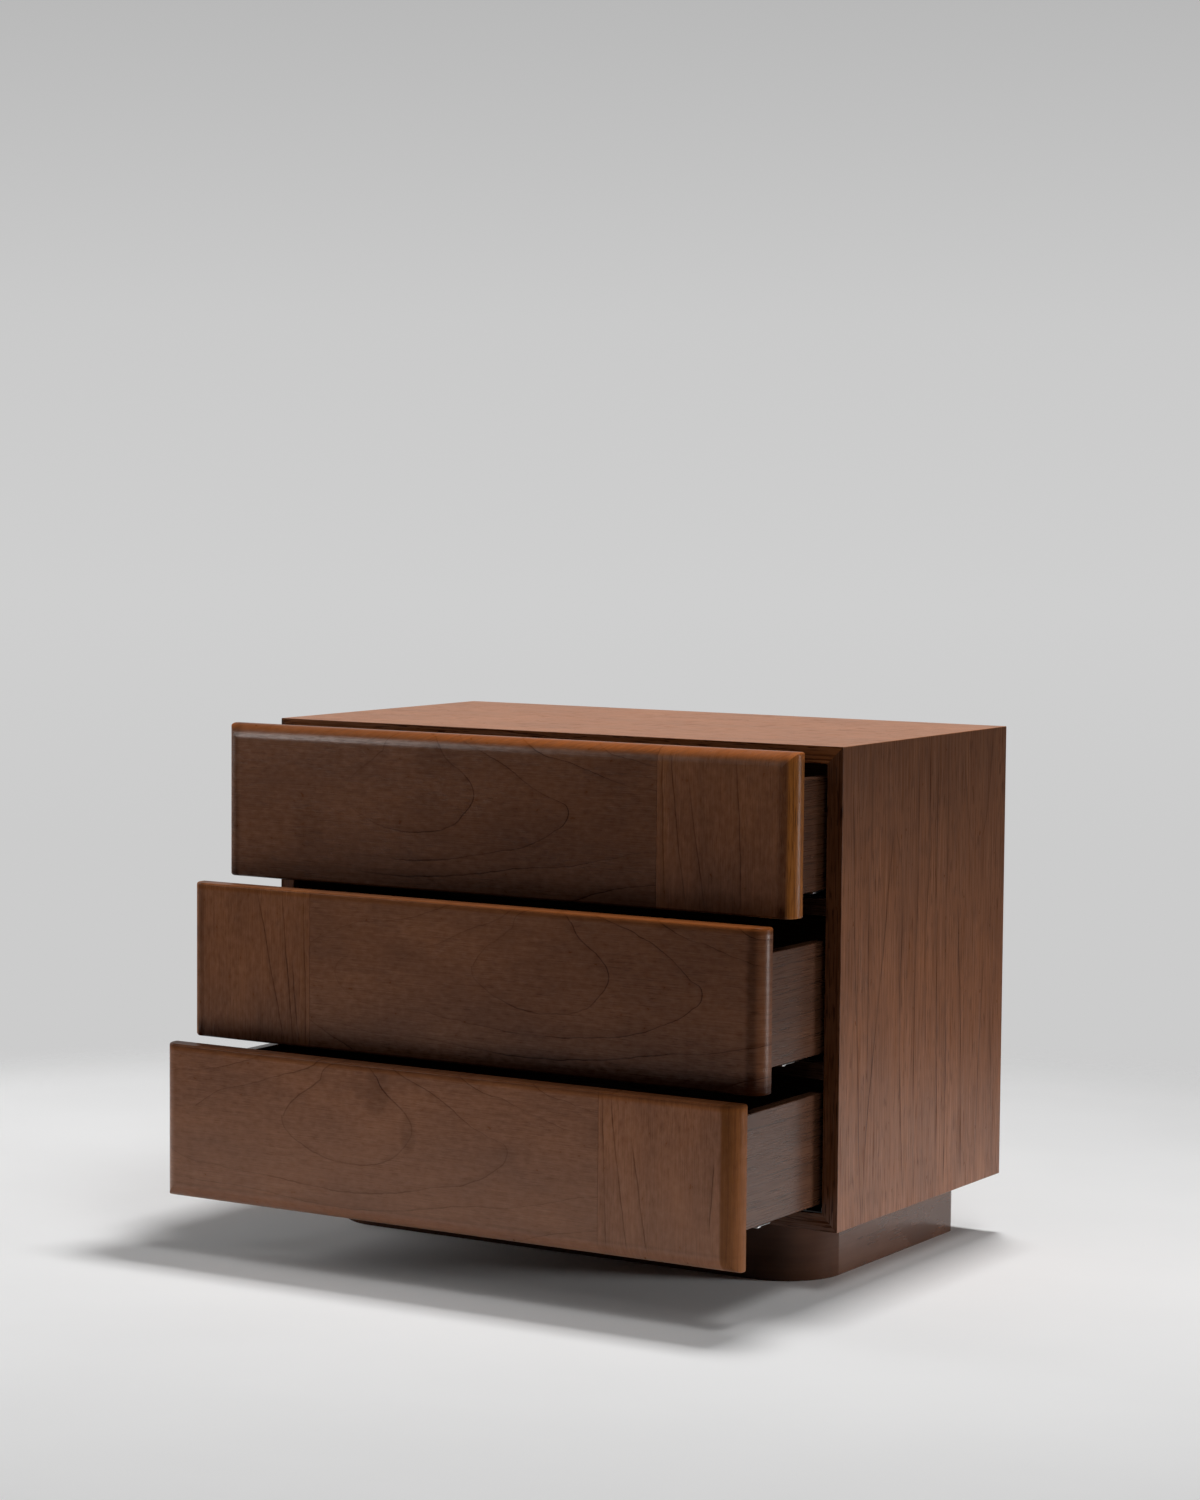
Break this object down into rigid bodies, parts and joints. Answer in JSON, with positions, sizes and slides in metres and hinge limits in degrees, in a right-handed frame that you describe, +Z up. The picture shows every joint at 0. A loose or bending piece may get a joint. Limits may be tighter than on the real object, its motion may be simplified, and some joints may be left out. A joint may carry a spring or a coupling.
{
  "type": "nightstand",
  "caption": "Low veneered nightstand with handle-less full-width drawers on concealed runners, standing part open in a stagger, on a recessed plinth with round front corners.",
  "frame": {"origin": "on the floor, under the middle of the part's box with the drawers as they stand at rest", "axes": "+X to the right seen from the front, +Y from the drawer fronts to the back, +Z up"},
  "size_m": [0.65, 0.5516, 0.52],
  "materials": {
    "walnut_veneer": "satin lacquer over brown veneer",
    "front_veneer": "satin lacquer over figured brown veneer",
    "end_veneer": "satin lacquer over straight-grained brown veneer",
    "box_wood": "matt grey-brown wood",
    "plinth_wood": "satin dark brown lacquer",
    "plated_steel": "bright zinc plate"
  },
  "bodies": {
    "carcass": {"top_panel": "walnut_veneer", "bottom_panel": "walnut_veneer", "left_side_panel": "walnut_veneer", "right_side_panel": "walnut_veneer", "back_panel": "walnut_veneer", "upper_divider_rail": "walnut_veneer", "lower_divider_rail": "walnut_veneer", "plinth_front": "plinth_wood", "plinth_left_corner": "plinth_wood", "plinth_right_corner": "plinth_wood", "plinth_left_side": "plinth_wood", "plinth_right_side": "plinth_wood", "plinth_back": "plinth_wood", "top_left_cabinet_rail": "plated_steel", "top_right_cabinet_rail": "plated_steel", "middle_left_cabinet_rail": "plated_steel", "middle_right_cabinet_rail": "plated_steel", "bottom_left_cabinet_rail": "plated_steel", "bottom_right_cabinet_rail": "plated_steel"},
    "top_drawer": {"top_front_panel": "front_veneer", "top_front_end_panel": "end_veneer", "top_box_left_side": "box_wood", "top_box_right_side": "box_wood", "top_box_front": "box_wood", "top_box_back": "box_wood", "top_box_bottom": "box_wood", "top_left_drawer_rail": "plated_steel", "top_right_drawer_rail": "plated_steel", "top_left_clip": "plated_steel", "top_right_clip": "plated_steel"},
    "top_middle_rails": {"top_left_middle_rail": "plated_steel", "top_right_middle_rail": "plated_steel"},
    "middle_drawer": {"middle_front_panel": "front_veneer", "middle_front_end_panel": "end_veneer", "middle_box_left_side": "box_wood", "middle_box_right_side": "box_wood", "middle_box_front": "box_wood", "middle_box_back": "box_wood", "middle_box_bottom": "box_wood", "middle_left_drawer_rail": "plated_steel", "middle_right_drawer_rail": "plated_steel", "middle_left_clip": "plated_steel", "middle_right_clip": "plated_steel"},
    "middle_middle_rails": {"middle_left_middle_rail": "plated_steel", "middle_right_middle_rail": "plated_steel"},
    "bottom_drawer": {"bottom_front_panel": "front_veneer", "bottom_front_end_panel": "end_veneer", "bottom_box_left_side": "box_wood", "bottom_box_right_side": "box_wood", "bottom_box_front": "box_wood", "bottom_box_back": "box_wood", "bottom_box_bottom": "box_wood", "bottom_left_drawer_rail": "plated_steel", "bottom_right_drawer_rail": "plated_steel", "bottom_left_clip": "plated_steel", "bottom_right_clip": "plated_steel"},
    "bottom_middle_rails": {"bottom_left_middle_rail": "plated_steel", "bottom_right_middle_rail": "plated_steel"}
  },
  "joints": [
    {"name": "top_drawer_slide", "type": "slide", "parent": "carcass", "child": "top_drawer", "axis": [0, -1, 0], "range_m": [-0.0741, 0.2159]},
    {"name": "top_rail_slide", "type": "slide", "parent": "carcass", "child": "top_middle_rails", "axis": [0, -1, 0], "range_m": [-0.03705, 0.10795]},
    {"name": "middle_drawer_slide", "type": "slide", "parent": "carcass", "child": "middle_drawer", "axis": [0, -1, 0], "range_m": [-0.1304, 0.1596]},
    {"name": "middle_rail_slide", "type": "slide", "parent": "carcass", "child": "middle_middle_rails", "axis": [0, -1, 0], "range_m": [-0.0652, 0.0798]},
    {"name": "bottom_drawer_slide", "type": "slide", "parent": "carcass", "child": "bottom_drawer", "axis": [0, -1, 0], "range_m": [-0.1742, 0.1158]},
    {"name": "bottom_rail_slide", "type": "slide", "parent": "carcass", "child": "bottom_middle_rails", "axis": [0, -1, 0], "range_m": [-0.0871, 0.0579]}
  ],
  "couplings": [
    {"joint": "top_rail_slide", "follows": "top_drawer_slide", "ratio": 0.5},
    {"joint": "middle_rail_slide", "follows": "middle_drawer_slide", "ratio": 0.5},
    {"joint": "bottom_rail_slide", "follows": "bottom_drawer_slide", "ratio": 0.5}
  ]
}
